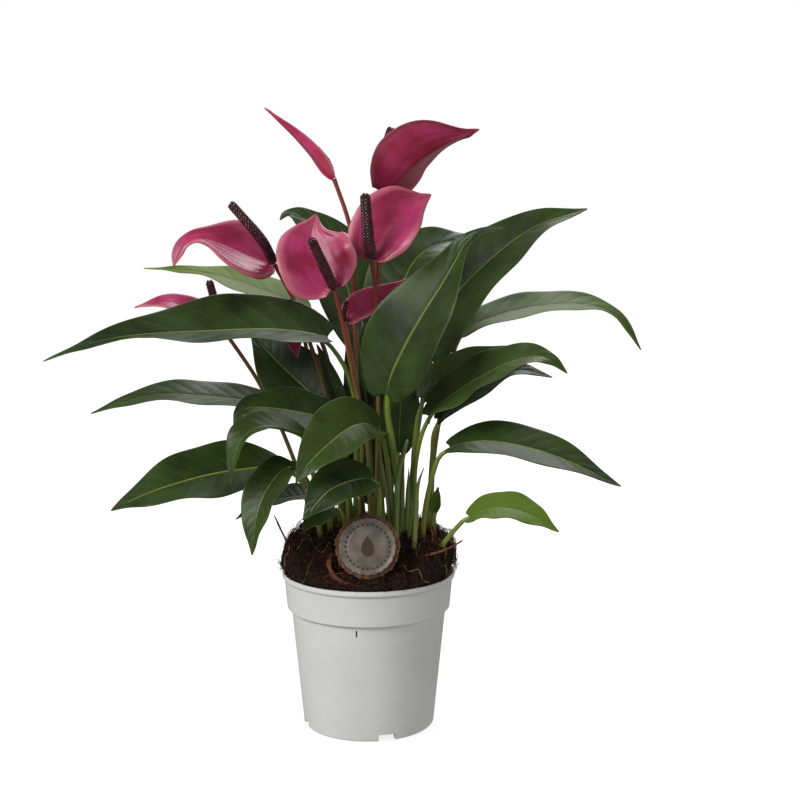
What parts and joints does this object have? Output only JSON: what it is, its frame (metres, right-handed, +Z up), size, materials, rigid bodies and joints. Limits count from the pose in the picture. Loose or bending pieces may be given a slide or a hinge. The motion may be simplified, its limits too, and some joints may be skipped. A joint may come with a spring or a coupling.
{
  "type": "potted anthurium",
  "caption": "Potted anthurium in a stepped grower's pot of coir, with arching pointed leaves, pink spathes with dark spadices on upright stalks, and a round plant tag.",
  "frame": {"origin": "centre of the flat pad under the pot, on the surface that the pot stands on", "axes": "+Z up along the pot's axis; -Y towards the front, the side that the tag faces; +X to the right as seen from the front"},
  "size_m": [0.405, 0.1633, 0.425],
  "materials": {
    "pot_plastic": "moulded, satin, off-white",
    "coir": "matted moist fibre, red-brown",
    "leaf": "smooth leathery leaf, satin to glossy, dark green",
    "spathe": "smooth waxy petal-like leaf, magenta pink",
    "spadix": "finely knobbly, dark maroon",
    "flower_stalk": "smooth, dull red to orange-brown",
    "shoot": "smooth, yellow-green",
    "root": "dry, fibrous, orange-brown",
    "tag_face": "matt printed card, pale grey",
    "tag_board": "raw brown board, matt"
  },
  "bodies": {
    "root": {"flower_behind_leaf_spadix": "spadix", "flower_behind_leaf_spathe": "spathe", "flower_behind_leaf_stalk": "flower_stalk", "flower_front_spadix": "spadix", "flower_front_spathe": "spathe", "flower_front_stalk": "flower_stalk", "flower_hidden_spadix": "spadix", "flower_hidden_spathe": "spathe", "flower_hidden_stalk": "flower_stalk", "flower_high_left_spadix": "spadix", "flower_high_left_spathe": "spathe", "flower_high_left_stalk": "flower_stalk", "flower_left_spadix": "spadix", "flower_left_spathe": "spathe", "flower_left_stalk": "flower_stalk", "flower_middle_spadix": "spadix", "flower_middle_spathe": "spathe", "flower_middle_stalk": "flower_stalk", "flower_small_spadix": "spadix", "flower_small_spathe": "spathe", "flower_small_stalk": "flower_stalk", "flower_top_spadix": "spadix", "flower_top_spathe": "spathe", "flower_top_stalk": "flower_stalk", "leaf_back_right": "leaf", "leaf_back_top": "leaf", "leaf_drooping": "leaf", "leaf_front_tall": "leaf", "leaf_glossy_small": "leaf", "leaf_hanging": "leaf", "leaf_hood": "leaf", "leaf_inner_left": "leaf", "leaf_inner_low": "leaf", "leaf_left_long": "leaf", "leaf_left_mid": "leaf", "leaf_left_pale": "leaf", "leaf_low_left": "leaf", "leaf_lower_left": "leaf", "leaf_narrow_left": "leaf", "leaf_right_arching": "leaf", "leaf_right_bright": "leaf", "leaf_right_dark": "leaf", "leaf_right_low": "leaf", "leaf_right_lowest": "leaf", "leaf_right_mid": "leaf", "leaf_right_under": "leaf", "leaf_shaded_back": "leaf", "leaf_shaded_centre": "leaf", "leaf_small_under": "leaf", "leaf_sprout": "leaf", "pot": "pot_plastic", "root_front": "root", "root_left": "root", "root_right": "root", "shoot_blunt": "shoot", "shoot_pointed": "shoot", "soil": "coir", "tag_backing": "tag_board", "tag_disc": "tag_face", "tag_stake": "tag_board"}
  },
  "joints": []
}
